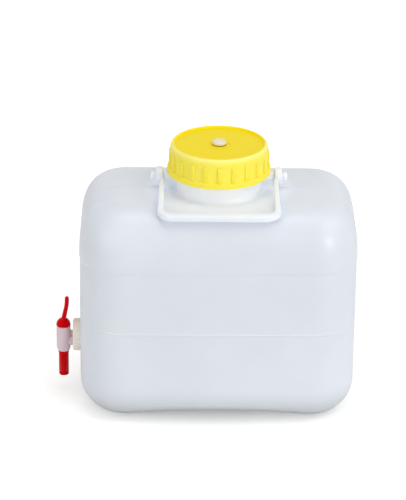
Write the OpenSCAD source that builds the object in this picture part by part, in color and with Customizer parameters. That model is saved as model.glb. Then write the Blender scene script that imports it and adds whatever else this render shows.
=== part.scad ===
// Wide-neck dispensing canister, about 10 litres: a blow-moulded tank with a screw cap and vent,
// a carrying handle that swings on two moulded pins, and a plug tap on one end.
// Millimetres, +Z up, the front towards -Y, the tap at the -X end.
// The origin is on the ground, under the middle of the whole object.

/* [Tank] */
// Width of the tank over its ends
body_w = 290; // [250:1:360]
// Depth of the tank, front to back
body_d = 172; // [140:1:220]
// Height of the tank's flat top
body_h = 236; // [200:1:320]
// Thickness of the moulded wall
wall = 2; // [1.2:0.1:3]
// Radius of the four upright corners, seen from above
corner_r = 47; // [44:1:60]
// How far the shoulder runs in from the wall
shoulder_in = 43; // [30:1:43]
// How far the shoulder drops from the top
shoulder_drop = 56; // [40:1:64]
// Fullness of the shoulder's curve, where 2 is an ellipse
shoulder_full = 2.6; // [2:0.1:3]
// Radius of the tank's bottom edge
base_r = 38; // [24:1:40]
// How far the side panels stand in from the shoulder
panel_in = 0.5; // [0.2:0.1:1.6]
// Depth of the crease between the panels and the shoulder
crease_depth = 0.5; // [0.3:0.1:1]
// Width of the arch across the underside
arch_w = 184; // [120:1:196]
// Rise of the arch across the underside
arch_rise = 5; // [2:0.5:8]
// Height of the stiffening line on the front and back
line_z = 106; // [90:1:140]
// Height by which the stiffening line stands out
line_out = 0.5; // [0.3:0.1:1.5]
// Width of the stiffening line at its root
line_w = 5; // [3:0.5:8]

/* [Neck] */
// Outer radius of the neck at the root of its thread
neck_r = 45.2; // [40:0.1:47]
// Thickness of the neck's wall
neck_wall = 2.8; // [2:0.1:4]
// Height of the cap's rim above the tank's top
rim_up = 19.5; // [18:0.5:24]
// Radius of the fillet at the neck's foot
neck_fillet = 5; // [2:0.5:8]

/* [Handle and its pins] */
// Radius of the moulded pins
pin_r = 3.5; // [2.5:0.1:4.5]
// Radius of the head that keeps the handle on its pin
head_r = 4.6; // [4.6:0.1:5.5]
// Length of the pin's head
head_l = 3.6; // [2:0.1:5]
// Room between the handle's eye and the pin's head
head_gap = 2; // [0.5:0.1:3]
// Radius of the lug's round top, behind the eye
ear_r = 6.3; // [5.2:0.1:7]
// Thickness of the lug, front to back
ear_t = 11; // [6:0.5:12]
// Distance from the pins' axis to the middle of the grip
handle_l = 78; // [76:0.5:80]
// Radius of the eyes at the handle's ends
eye_r = 10.2; // [8:0.1:10.2]
// Thickness of each eye
eye_t = 7.2; // [5:0.1:9]
// Width of each arm at its eye, across the handle's plane
arm_w = 5; // [4:0.1:6]
// Width of each arm where it meets the bend
bend_w = 7; // [6:0.1:8]
// Width of the grip
grip_w = 9.4; // [7:0.1:11]
// Thickness of the arms at their eyes, square to the handle's plane
arm_thick = 5; // [4.8:0.1:7]
// Thickness of the grip
grip_thick = 6.6; // [5.6:0.1:8]
// Rounding of the handle's edges
edge_round = 2; // [1:0.1:2.2]
// Inner radius of the handle's two bends
bend_r = 8.5; // [5:0.5:14]
// Room on each side between the cap and the handle
handle_clear = 3; // [2:0.5:6]
// Gap between the lying handle and the tank
handle_rest = 0.4; // [0.3:0.1:1]

/* [Cap] */
// Room for the screw thread between the neck and the cap's skirt
thread_room = 3.7; // [3:0.1:5]
// Thickness of the cap's skirt
cap_wall = 2.3; // [1.8:0.1:3]
// How far the bottom rim stands out of the skirt
rim_out = 2.8; // [2:0.1:4]
// Height of the plain rim
rim_h = 6; // [4:0.1:8]
// Height of the cap, rim to crest
cap_h = 31.4; // [28:0.1:36]
// How far each grip rib stands out of the skirt
rib_out = 1.5; // [0.6:0.1:2]
// Width of a grip rib
rib_w = 4.2; // [3:0.1:7]
// Number of grip ribs
rib_count = 22; // [16:1:30]
// Thickness of the cap's disc
disc_t = 2.2; // [1.6:0.1:3]
// Depth of the disc below the cap's crest
disc_drop = 2.2; // [1:0.1:3]
// Thickness of the cap's flat seal
seal_t = 2; // [1:0.1:3]

/* [Vent plug] */
// Radius of the vent plug's head
vent_head_r = 7.4; // [6:0.1:9]
// Height of the vent plug's head
vent_head_h = 3.2; // [2:0.1:5]
// Radius of the vent plug's stem
vent_stem_r = 3.9; // [3:0.1:4.5]
// Length of the vent plug's stem below its washer
vent_stem_l = 8; // [5:0.1:12]
// Thickness of the vent plug's washer
vent_washer_t = 0.8; // [0.5:0.1:1.5]

/* [Outlet and nut] */
// Height of the outlet's axis
outlet_z = 65; // [60:0.5:75]
// Outer radius of the outlet's short pipe
outlet_r = 13.9; // [13.9:0.1:15]
// Bore radius of the outlet's short pipe
outlet_bore_r = 11; // [10.8:0.1:11.2]
// Length of the outlet's short pipe
outlet_l = 3.9; // [3.5:0.1:8]
// Thickness of the flat seal on the outlet
outlet_seal_t = 1; // [0.6:0.1:2]
// Thickness of the tap's flange
flange_t = 2; // [1.5:0.1:3]
// Thickness of the nut's front lip
nut_lip = 2.1; // [1.5:0.1:3]
// Thickness of the nut's skirt under its ribs
nut_wall = 2.2; // [1.8:0.1:3]
// Number of grip ribs on the nut
nut_ribs = 24; // [16:1:32]
// How far the nut's ribs stand out
nut_rib_out = 0.8; // [0.4:0.1:1.2]
// How far the flange and the nut's lip overlap
lip_bite = 1; // [0.8:0.1:1.5]

/* [Tap] */
// Height of the tap's inlet below the outlet's axis
inlet_drop = 7.2; // [0:0.1:7.2]
// Distance from the nut's face to the tap's upright axis
tap_reach = 10.4; // [10:0.1:16]
// Outer radius of the tap's barrel
barrel_r = 7.5; // [7.2:0.1:9]
// Height of the barrel above the inlet's axis
barrel_up = 17.6; // [15:0.1:22]
// Depth of the barrel below the inlet's axis
barrel_down = 11.2; // [10.5:0.1:16]
// Outer radius of the inlet pipe
inlet_r = 5.1; // [4.4:0.1:5.2]
// Bore radius of the inlet pipe and of the plug's port
port_r = 3.1; // [2:0.1:3.3]
// Radius of the plug inside the barrel
plug_r = 5.55; // [5.2:0.05:5.8]
// Radial running clearance of moving fits
run_gap = 0.07; // [0.03:0.01:0.1]
// Bore radius of the spout
spout_bore_r = 3.4; // [2.5:0.1:3.6]
// Outer radius of the spout's lower end, where a hose fits
spout_r = 5.3; // [4.8:0.1:5.5]
// Length of the spout below the barrel
spout_l = 29; // [20:0.5:34]
// Radius of the dome over the barrel
dome_r = 7.7; // [7.5:0.1:9]
// Height of the dome
dome_h = 8.8; // [6:0.1:12]
// Height of the lever above the dome's foot
lever_h = 33.5; // [24:0.5:45]
// Thickness of the lever at its root
lever_t = 5.4; // [4:0.1:6]
// Width of the lever, front to back
lever_w = 11; // [8:0.5:14]
// How far the lever's tip leans towards the tank
lever_lean = 3.9; // [0:0.1:4]
// Section radius of the plug's ring seals
ring_r = 0.62; // [0.5:0.01:0.7]

/* [Hidden] */
$fn = 96;

seat = 0.02;                        // gap between faces that bear on each other
face_gap = 0.3;                     // gap between pieces that lie side by side
arc_step = 7.5;                     // degrees between points on the tank's rounded edges
over = 1;                           // how far a cutter runs past what it cuts

shoulder_z = body_h - shoulder_drop;            // where the shoulder starts
crease_z = shoulder_z - 7;                      // the crease's deepest line
half_w = body_w / 2;
half_d = body_d / 2;
flank_x = half_w - panel_in;                    // the flat panel at each end
arch_r = (pow(arch_w / 2, 2) + pow(arch_rise, 2)) / (2 * arch_rise);
line_end = half_w - 0.36 * corner_r;            // the stiffening line ends part way round the corner

rim_z = body_h + rim_up;
crest_z = rim_z + cap_h;
disc_top = crest_z - disc_drop;
disc_under = disc_top - disc_t;
lip_z = disc_under - seal_t - 2 * seat;
cap_bore_r = neck_r + thread_room;
skirt_r = cap_bore_r + cap_wall;
rim_r = skirt_r + rim_out;
crest_r = skirt_r - 3.2;                        // middle of the cap's rounded crest
disc_r = crest_r - 1.6;
neck_bore_r = neck_r - neck_wall;

pivot_z = rim_z - face_gap - ear_r;             // the lug's top stays clear of the cap's rim
arm_in = rim_r + handle_clear;                  // inner face of each arm of the handle
eye_in = arm_in + 1.4;
eye_out = eye_in + eye_t;
pin_end = eye_out + head_gap + head_l;
grip_in = handle_l - grip_w / 2;                // distance from the pins' axis to the grip's inner edge

outlet_end = flank_x + outlet_l;
flange_back = outlet_end + outlet_seal_t + 2 * seat;
flange_front = flange_back + flange_t;
nut_front = flange_front + seat + nut_lip;
nut_back = flank_x + face_gap;
nut_bore_r = outlet_r + 0.4;
flange_r = nut_bore_r - 0.2;
nut_hole_r = flange_r - lip_bite;
nut_r = nut_bore_r + nut_wall;

tap_x = -(nut_front + tap_reach);
inlet_z = outlet_z - inlet_drop;
barrel_top = inlet_z + barrel_up;
barrel_foot = inlet_z - barrel_down;
barrel_bore_r = plug_r + run_gap;
dome_z = barrel_top + face_gap;
lever_top = dome_z + lever_h;
spout_end = barrel_foot - spout_l;
ring_groove_r = plug_r - 2 * ring_r - 0.08;
ring_path_r = ring_groove_r + ring_r + 0.03;
ring_up_z = barrel_top - 5;
ring_low_z = barrel_foot + 3.5;

centre_shift = (dome_r - tap_x - half_w) / 2;   // brings the origin under the middle of the whole

// Outline points of a rectangle w by h with rounded corners, centred.
function rounded(w, h, r, n = 5) =
    [for (q = [0:3], i = [0:n])
        let (a = 90 * q + 90 * i / n,
             cx = (q == 0 || q == 3 ? 1 : -1) * (w / 2 - r),
             cy = (q < 2 ? 1 : -1) * (h / 2 - r))
        [cx + r * cos(a), cy + r * sin(a)]];

// The tank's wall from bottom to top as [distance in from the widest plane, height].
// t is how far the surface lies inside the outer one.
function wall_line(t) = concat(
    [for (a = [90:-arc_step:0])
        [panel_in + (base_r - t) * (1 - cos(a)), t + (base_r - t) * (1 - sin(a))]],
    [[panel_in, crease_z - 5], [panel_in + crease_depth, crease_z], [panel_in * 0.35, crease_z + 3.5]],
    [for (a = [0:arc_step:90])
        [(shoulder_in - t) * (1 - pow(cos(a), 2 / shoulder_full)),
         shoulder_z + (shoulder_drop - t) * pow(sin(a), 2 / shoulder_full)]]);

// One side of an upright section, from the middle line out to the wall at distance reach.
module half_section(reach, t) {
    line = wall_line(t);
    polygon(concat([[0, t]], [for (p = line) [reach - t - p[0], p[1]]], [[0, body_h - t]]));
}

// A whole upright section, wall to wall.
module full_section(reach, t) {
    line = wall_line(t);
    n = len(line);
    polygon(concat([for (p = line) [reach - t - p[0], p[1]]],
                   [for (i = [n - 1:-1:0]) [-(reach - t - line[i][0]), line[i][1]]]));
}

// The tank's solid form, t inside its outer surface: its wall line carried round the plan.
module tank_form(t) {
    run_x = half_w - corner_r;
    run_y = half_d - corner_r;
    difference() {
        union() {
            for (sx = [0, 1], sy = [0, 1]) mirror([sx, 0, 0]) mirror([0, sy, 0])
                translate([run_x, run_y, 0]) rotate_extrude(angle = 90) half_section(corner_r, t);
            rotate([90, 0, 0]) linear_extrude(2 * run_y, center = true) full_section(half_w, t);
            rotate([90, 0, 90]) linear_extrude(2 * run_x, center = true) full_section(half_d, t);
        }
        translate([0, 0, arch_rise - arch_r]) rotate([90, 0, 0])
            cylinder(r = arch_r + t, h = body_d + 2 * over, center = true);
    }
}

// The raised line on the front and back, ending part way round the corners.
module stiffening_line() {
    root = panel_in + 0.4;
    slant = line_w / 3;
    section = [[root, -line_w / 2], [panel_in, -line_w / 2], [panel_in - line_out, -line_w / 2 + slant],
               [panel_in - line_out, line_w / 2 - slant], [panel_in, line_w / 2], [root, line_w / 2]];
    run_x = half_w - corner_r;
    intersection() {
        for (sy = [0, 1]) mirror([0, sy, 0]) {
            for (sx = [0, 1]) mirror([sx, 0, 0])
                translate([run_x, half_d - corner_r, line_z]) rotate_extrude(angle = 90)
                    polygon([for (p = section) [corner_r - p[0], p[1]]]);
            translate([0, 0, line_z]) rotate([90, 0, 90]) linear_extrude(2 * run_x, center = true)
                polygon([for (p = section) [half_d - p[0], p[1]]]);
        }
        translate([0, 0, line_z]) cube([2 * line_end, body_d + 2 * line_out, 2 * line_w], center = true);
    }
}

// The neck's wall with a fillet at its foot.
module neck() {
    sunk = body_h - wall / 2;
    rotate_extrude()
        polygon(concat(
            [[neck_bore_r, sunk], [neck_r + neck_fillet, sunk]],
            [for (a = [0:15:90])
                [neck_r + neck_fillet * (1 - sin(a)), body_h + neck_fillet * (1 - cos(a))]],
            [[neck_r, lip_z - 0.8], [neck_r - 0.8, lip_z], [neck_bore_r, lip_z]]));
}

// The lug beside the neck, with the pin that the handle turns on.
module handle_lug() {
    ear_x = eye_in - face_gap;
    inner = neck_r - neck_wall / 2;
    foot = body_h - wall / 2;
    translate([inner, -ear_t / 2, foot]) cube([ear_x - inner, ear_t, pivot_z - foot]);
    translate([inner, 0, pivot_z]) rotate([0, 90, 0]) {
        cylinder(r = ear_r, h = ear_x - inner);
        cylinder(r = pin_r, h = pin_end - inner);
        translate([0, 0, pin_end - inner - head_l]) {
            cylinder(r1 = head_r - 0.3, r2 = head_r, h = 0.8);
            translate([0, 0, 0.8]) cylinder(r = head_r, h = head_l - 1.8);
            translate([0, 0, head_l - 1]) cylinder(r1 = head_r, r2 = head_r - 1, h = 1);
        }
    }
}

// The tank: shell, neck, handle lugs and outlet, moulded in one.
module canister_body() {
    color([0.87, 0.9, 0.93]) difference() {
        union() {
            difference() {
                union() {
                    tank_form(0);
                    stiffening_line();
                }
                tank_form(wall);
            }
            neck();
            for (s = [0, 1]) mirror([s, 0, 0]) handle_lug();
            translate([-outlet_end, 0, outlet_z]) rotate([0, 90, 0])
                cylinder(r = outlet_r, h = outlet_l + wall / 2);
        }
        translate([0, 0, body_h - wall - over])
            cylinder(r = neck_bore_r, h = lip_z - body_h + wall + 2 * over);
        translate([-outlet_end - over, 0, outlet_z]) rotate([0, 90, 0])
            cylinder(r = outlet_bore_r, h = outlet_l + wall + 2 * over);
    }
}

// The flat ring that seals the cap on the neck's lip.
module cap_seal() {
    color([0.93, 0.93, 0.9]) translate([0, 0, lip_z + seat]) difference() {
        cylinder(r = cap_bore_r - 0.2, h = seal_t);
        translate([0, 0, -over]) cylinder(r = neck_bore_r, h = seal_t + 2 * over);
    }
}

// The screw cap: skirt, plain rim, grip ribs, rounded crest and sunk disc.
module screw_cap() {
    rib_foot = rim_z + rim_h;
    rib_top = crest_z - 9;
    crest_w = skirt_r - crest_r;
    color([0.98, 0.84, 0.1]) difference() {
        union() {
            rotate_extrude() polygon(concat(
                [[0, rim_z], [rim_r - 0.6, rim_z], [rim_r, rim_z + 0.6], [rim_r, rib_foot - 0.8],
                 [rim_r - 0.8, rib_foot], [skirt_r, rib_foot]],
                [for (a = [0:15:90])
                    [crest_r + crest_w * cos(a), rib_top + 1.5 + (crest_z - rib_top - 1.5) * sin(a)]],
                [[disc_r + 0.8, crest_z - 0.3], [disc_r, crest_z - 1], [disc_r, disc_top], [0, disc_top]]));
            for (i = [0:rib_count - 1]) rotate([0, 0, 360 * (i + 0.5) / rib_count]) grip_rib(rib_foot, rib_top);
        }
        translate([0, 0, rim_z - over]) cylinder(r = cap_bore_r, h = disc_under - rim_z + over);
        translate([0, 0, disc_under - over]) cylinder(r = vent_stem_r + run_gap, h = disc_t + 2 * over);
        translate([0, 0, disc_top - 0.6]) difference() {
            cylinder(r = vent_head_r + 2.6, h = over);
            translate([0, 0, -over]) cylinder(r = vent_head_r + 1.6, h = 3 * over);
        }
    }
}

// One upright grip rib of the cap, thinned at its upper end.
module grip_rib(foot, top) {
    root = skirt_r - cap_wall / 2;
    rotate([90, 0, 0]) linear_extrude(rib_w, center = true)
        polygon([[root, foot - 0.5], [skirt_r + rib_out, foot - 0.5], [skirt_r + rib_out, top - 1.5],
                 [skirt_r, top + 0.5], [root, top + 0.5]]);
}

// The thin washer under the vent plug's head.
module vent_washer() {
    color([0.2, 0.2, 0.2]) translate([0, 0, disc_top + seat]) difference() {
        cylinder(r = vent_head_r - 0.4, h = vent_washer_t);
        translate([0, 0, -over]) cylinder(r = vent_stem_r + run_gap, h = vent_washer_t + 2 * over);
    }
}

// The vent plug: domed head, and a stem with an air slot cut across its end.
module vent_plug() {
    under = disc_top + vent_washer_t + 2 * seat;
    top = under + vent_head_h;
    color([0.95, 0.94, 0.93]) difference() {
        union() {
            rotate_extrude()
                polygon([[0, under], [vent_head_r, under], [vent_head_r, top - 1.2],
                         [vent_head_r - 0.4, top - 0.5], [vent_head_r - 1.2, top - 0.1],
                         [vent_head_r - 2.4, top], [0, top]]);
            translate([0, 0, under - vent_stem_l]) {
                cylinder(r1 = vent_stem_r - 0.6, r2 = vent_stem_r, h = 1);
                translate([0, 0, 1]) cylinder(r = vent_stem_r, h = vent_stem_l - 0.5);
            }
        }
        translate([-vent_stem_r - over, -0.9, under - vent_stem_l - over])
            cube([2 * (vent_stem_r + over), 1.8, vent_stem_l - 2 + over]);
    }
}

// One half of the handle's bar as stations from the eye to the middle of the grip. Each is
// [point on the inner edge, angle of the outward direction, width, thickness].
function bar_half() =
    let (drop = grip_in - bend_r, top = ear_r + face_gap, arms = 5)
    concat(
        [for (i = [0:arms])
            let (s = i / arms)
            [[arm_in, -top - (drop - top) * s], 0, blend(arm_w, bend_w, s), blend(arm_thick, grip_thick, s)]],
        [for (a = [11.25:11.25:90])
            [[arm_in - bend_r * (1 - cos(a)), -drop - bend_r * sin(a)], a,
             blend(bend_w, grip_w, a / 90), grip_thick]],
        [[[0, -grip_in], 90, grip_w, grip_thick]]);

// The value at share s of the way from a to b.
function blend(a, b, s) = a + (b - a) * s;

// The rounded outline of the bar at one station, side is 1 for the right half and -1 for the left.
function bar_ring(st, side) =
    [for (p = rounded(st[2], st[3], edge_round, 3))
        let (out = p[0] + st[2] / 2)
        [side * (st[0][0] + out * cos(st[1])), st[0][1] - out * sin(st[1]), p[1]]];

// Height of the tank's top at distance y from its middle.
function top_at(y) =
    let (u = max(0, abs(y) - half_d + shoulder_in) / shoulder_in)
    u >= 1 ? 0 : shoulder_z + shoulder_drop * pow(1 - pow(u, shoulder_full), 1 / shoulder_full);

// Least room under the handle when it is tilted t degrees below level.
function room_at(t) =
    min([for (st = bar_half(), p = bar_ring(st, 1))
        pivot_z + p[1] * sin(t) + p[2] * cos(t) - top_at(p[1] * cos(t) - p[2] * sin(t))]);

// The handle lies as low as the tank lets it.
handle_tilt = max([for (t = [0:0.25:40]) if (room_at(t) >= handle_rest) t]);

// The bar of the handle, one skin through all its stations.
module handle_bar() {
    half = bar_half();
    last = len(half) - 1;
    rings = concat([for (i = [0:last]) bar_ring(half[i], 1)],
                   [for (i = [last - 1:-1:0]) bar_ring(half[i], -1)]);
    n = len(rings[0]);
    m = len(rings);
    polyhedron(
        points = [for (ring = rings) each ring],
        faces = concat(
            [[for (k = [0:n - 1]) k]],
            [[for (k = [n - 1:-1:0]) (m - 1) * n + k]],
            [for (i = [0:m - 2], k = [0:n - 1]) [i * n + k, (i + 1) * n + (k + 1) % n, i * n + (k + 1) % n]],
            [for (i = [0:m - 2], k = [0:n - 1]) [i * n + k, (i + 1) * n + k, (i + 1) * n + (k + 1) % n]]));
}

// The carrying handle: two eyes on one bent bar, lying forward.
module carry_handle() {
    color([0.97, 0.97, 0.98]) translate([0, 0, pivot_z]) rotate([handle_tilt, 0, 0]) difference() {
        union() {
            handle_bar();
            for (s = [0, 1]) mirror([s, 0, 0]) translate([eye_in, 0, 0]) rotate([0, 90, 0])
                cylinder(r = eye_r, h = eye_t);
        }
        for (s = [0, 1]) mirror([s, 0, 0]) translate([arm_in - over, 0, 0]) rotate([0, 90, 0])
            cylinder(r = pin_r + run_gap, h = eye_out - arm_in + 2 * over);
    }
}

// Turns a shape drawn upwards so that it runs out of the tank along the outlet's axis.
module along_outlet(start) {
    translate([-start, 0, outlet_z]) rotate([0, -90, 0]) children();
}

// The ribbed nut that clamps the tap's flange on the outlet.
module outlet_nut() {
    nut_l = nut_front - nut_back;
    color([0.9, 0.89, 0.85]) along_outlet(nut_back) difference() {
        union() {
            cylinder(r = nut_r, h = nut_l - 0.8);
            translate([0, 0, nut_l - 0.8]) cylinder(r1 = nut_r, r2 = nut_r - 0.8, h = 0.8);
            for (i = [0:nut_ribs - 1]) rotate([0, 0, 360 * i / nut_ribs])
                translate([nut_r - 1, -1, 0.6]) cube([1 + nut_rib_out, 2, nut_l - 1.8]);
        }
        translate([0, 0, -over]) cylinder(r = nut_bore_r, h = nut_l - nut_lip + over);
        cylinder(r = nut_hole_r, h = nut_l + over);
    }
}

// The flat ring between the outlet's end and the tap's flange.
module outlet_seal() {
    color([0.2, 0.2, 0.2]) along_outlet(outlet_end + seat) difference() {
        cylinder(r = outlet_r - 0.1, h = outlet_seal_t);
        translate([0, 0, -over]) cylinder(r = outlet_bore_r, h = outlet_seal_t + 2 * over);
    }
}

// The tap's body: upright barrel, inlet pipe with a rib over it, and the clamped flange.
module tap_barrel() {
    reach = -tap_x - flange_back;
    color([0.93, 0.86, 0.89]) difference() {
        union() {
            translate([tap_x, 0, 0]) rotate_extrude()
                polygon([[0, barrel_foot], [barrel_r - 1.4, barrel_foot], [barrel_r - 0.3, barrel_foot + 2.4],
                         [barrel_r, barrel_foot + 4], [barrel_r, barrel_top - 0.4],
                         [barrel_r - 0.4, barrel_top], [0, barrel_top]]);
            translate([tap_x, 0, inlet_z]) rotate([0, 90, 0]) cylinder(r = inlet_r, h = reach - flange_t / 2);
            along_outlet(flange_back) cylinder(r = flange_r, h = flange_t);
            translate([tap_x + barrel_r - 1, -1.2, inlet_z])
                cube([reach - barrel_r + 1 - flange_t / 2, 2.4, inlet_r + 7]);
        }
        translate([tap_x, 0, barrel_foot - over])
            cylinder(r = barrel_bore_r, h = barrel_top - barrel_foot + 2 * over);
        translate([tap_x, 0, inlet_z]) rotate([0, 90, 0]) cylinder(r = port_r, h = reach + over);
    }
}

// The turning plug: dome and lever above the barrel, ported shank in it, spout below.
// It is drawn closed, with its port towards the front.
module tap_plug() {
    bead = barrel_foot - 0.3;
    color([0.78, 0.05, 0.08]) difference() {
        union() {
            translate([tap_x, 0, 0]) rotate_extrude() polygon(concat(
                [[0, spout_end], [spout_r - 1, spout_end], [spout_r - 0.3, spout_end + 0.3],
                 [spout_r, spout_end + 1.2], [spout_r, bead - 2.6], [plug_r + 0.4, bead - 0.6],
                 [plug_r + 0.4, bead], [plug_r, bead], [plug_r, dome_z]],
                [for (a = [0:7.5:82.5]) [dome_r * cos(a), dome_z + dome_h * sin(a)]],
                [[0, dome_z + dome_h]]));
            lever();
        }
        translate([tap_x, 0, spout_end - over])
            cylinder(r = spout_bore_r, h = inlet_z + port_r - spout_end + over);
        translate([tap_x, 0, inlet_z]) rotate([90, 0, 0]) cylinder(r = port_r, h = plug_r + over);
        for (z = [ring_up_z, ring_low_z]) translate([tap_x, 0, z - ring_r - 0.05]) difference() {
            cylinder(r = plug_r + over, h = 2 * (ring_r + 0.05));
            translate([0, 0, -over]) cylinder(r = ring_groove_r, h = 2 * over + 2 * (ring_r + 0.05));
        }
    }
}

// The lever: a blade that rises from the dome, leans to the tank and stands up again at its tip.
module lever() {
    foot = dome_z + 2;
    rise = lever_top - foot;
    tip_t = lever_t - 0.9;
    steps = [0:0.1:1];
    // Lean and thickness at share s of the height.
    lean = [for (s = steps) lever_lean * (0.5 - 0.5 * cos(180 * min(1, s * 1.15)))];
    half_t = [for (s = steps) (lever_t + (tip_t - lever_t) * s) / 2];
    n = len(lean) - 1;
    translate([tap_x, 0, foot]) intersection() {
        rotate([90, 0, 0]) linear_extrude(lever_w, center = true) polygon(concat(
            [for (i = [0:n]) [lean[i] + half_t[i] * (i == n ? 0.55 : 1), rise * i / n]],
            [for (i = [n:-1:0]) [lean[i] - half_t[i] * (i == n ? 0.55 : 1), rise * i / n]]));
        translate([-2 * lever_t, 0, 0]) rotate([90, 0, 90]) linear_extrude(4 * lever_t + 2 * lever_lean) {
            translate([-lever_w / 2 + 1.5, 0]) square([lever_w - 3, rise / 2]);
            translate([-lever_w / 2, dome_h]) square([lever_w, rise - dome_h - lever_w / 2]);
            translate([0, rise - lever_w / 2]) circle(r = lever_w / 2);
        }
    }
}

// A round ring seal in a groove of the plug.
module plug_ring(z) {
    color([0.15, 0.15, 0.15]) translate([tap_x, 0, z]) rotate_extrude()
        translate([ring_path_r, 0]) circle(r = ring_r);
}

module plug_ring_upper() plug_ring(ring_up_z);
module plug_ring_lower() plug_ring(ring_low_z);

// Sets a piece drawn about the tank's middle on the object's own origin.
module placed() translate([centre_shift, 0, 0]) children();

placed() canister_body();
placed() cap_seal();
placed() screw_cap();
placed() vent_washer();
placed() vent_plug();
placed() carry_handle();
placed() outlet_nut();
placed() outlet_seal();
placed() tap_barrel();
placed() tap_plug();
placed() plug_ring_upper();
placed() plug_ring_lower();
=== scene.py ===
# %% [markdown]
# # A ten litre canister with a screw cap, a swinging handle and a tap
#
# The real thing is a milky polyethylene tank, blown into a mould, that holds washing
# liquid. A wide yellow cap closes its neck, a bent white handle swings on two pins beside
# the neck, and a small red and white tap sits low on one end. The exact solids with their
# moving parts are loaded first. Every visible piece is then modelled again over its solid
# with softer edges, threads and moulding marks, and gets its own finish.

import math

import bpy
from mathutils import Euler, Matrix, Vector


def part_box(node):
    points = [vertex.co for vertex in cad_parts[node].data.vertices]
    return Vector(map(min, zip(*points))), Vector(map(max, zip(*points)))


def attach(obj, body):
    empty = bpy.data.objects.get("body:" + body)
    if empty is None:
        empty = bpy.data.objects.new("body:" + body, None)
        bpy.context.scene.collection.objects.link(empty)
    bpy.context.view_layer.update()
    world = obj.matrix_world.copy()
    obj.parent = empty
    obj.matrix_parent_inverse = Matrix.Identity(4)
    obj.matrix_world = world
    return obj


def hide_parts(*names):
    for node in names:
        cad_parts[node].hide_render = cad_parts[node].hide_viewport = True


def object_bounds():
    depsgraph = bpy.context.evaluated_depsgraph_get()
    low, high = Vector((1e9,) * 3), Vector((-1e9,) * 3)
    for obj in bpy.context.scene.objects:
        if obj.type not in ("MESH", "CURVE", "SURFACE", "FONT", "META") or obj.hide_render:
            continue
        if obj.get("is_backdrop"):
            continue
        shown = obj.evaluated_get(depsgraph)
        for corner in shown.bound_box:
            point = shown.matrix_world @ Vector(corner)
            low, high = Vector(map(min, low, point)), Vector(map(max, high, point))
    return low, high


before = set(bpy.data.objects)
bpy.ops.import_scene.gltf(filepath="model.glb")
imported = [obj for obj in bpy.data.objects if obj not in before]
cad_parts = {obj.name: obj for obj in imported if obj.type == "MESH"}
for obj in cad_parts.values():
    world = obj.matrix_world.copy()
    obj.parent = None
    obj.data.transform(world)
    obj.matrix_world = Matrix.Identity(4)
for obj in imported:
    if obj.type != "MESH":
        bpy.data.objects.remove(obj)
cad_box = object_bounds()
MM = 0.001
print("nodes:", sorted(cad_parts))
print("size in mm:", [round((b - a) / MM, 1) for a, b in zip(*cad_box)])

# %% [markdown]
# ## Where things are
#
# The tank's pieces are round about two upright lines: the middle of the neck and the
# middle of the tap. Both are read from the loaded solids, so that the scene follows them.
# Heights and radii that several pieces share get a name here, from the solids where a
# solid shows them. The raised line on the front and back has its height and its end here,
# because both the shape and the finish need them.

# %% Shared places


def low(node):
    """Lowest corner of a solid, in millimetres."""
    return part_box(node)[0] / MM


def high(node):
    """Highest corner of a solid, in millimetres."""
    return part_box(node)[1] / MM


def middle(node):
    """Middle of a solid, in millimetres."""
    return (low(node) + high(node)) / 2


half_w = 145
neck_x = high("canister_body").x - half_w
tap_x = low("tap_plug").x + 7.7
lip_z = low("cap_seal").z
rim_z = low("screw_cap").z
crest_z = high("screw_cap").z
rim_r = high("screw_cap").x - neck_x
outlet_z = middle("outlet_nut").z
half_d = high("canister_body").y
body_h = 236
neck_r = 45.2
LINE_Z = 106
LINE_END = 126
print("neck at x", round(neck_x, 2), "tap at x", round(tap_x, 2), "rim at z", round(rim_z, 2))

# %% [markdown]
# ## The camera
#
# A small product is shot with a long lens from well back, so that upright edges stay
# upright. The camera looks a little down on the tank and a degree from the tap's side, and
# it is rolled by less than a degree. It is aimed with a direction and a distance, and a
# lens shift then slides the tank to its place in the picture without turning the camera.

# %% Aim the camera
AIM = Vector((neck_x, 0, 150)) * MM
DISTANCE = 2.82
ELEVATION = math.radians(24.21)
AZIMUTH = math.radians(-0.98)
ROLL = math.radians(0.78)

back = Vector((
    math.sin(AZIMUTH) * math.cos(ELEVATION),
    -math.cos(AZIMUTH) * math.cos(ELEVATION),
    math.sin(ELEVATION),
))
camera_data = bpy.data.cameras.new("camera")
camera_data.lens = 191.8
camera_data.shift_x = -0.0293
camera_data.shift_y = 0.0251
camera = bpy.data.objects.new("camera", camera_data)
bpy.context.scene.collection.objects.link(camera)
camera.location = AIM + back * DISTANCE
rolled = back.to_track_quat("Z", "Y") @ Euler((0, 0, ROLL)).to_quaternion()
camera.rotation_euler = rolled.to_euler()
bpy.context.scene.camera = camera
print("camera at", [round(c, 3) for c in camera.location])

# %% [markdown]
# ## Finishes made of arithmetic
#
# A procedural finish is mostly sums on a place: noise here, a line there, a fade between
# two heights. Wiring maths nodes by hand is slow to read, so one small class lets shader
# values be added and multiplied like numbers. A second class keeps a tree of nodes and has
# one method that adds any other node from its type, its settings and its socket values.
# The finishes and the surroundings both use it.

# %% Classes for shader values and their nodes


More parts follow.
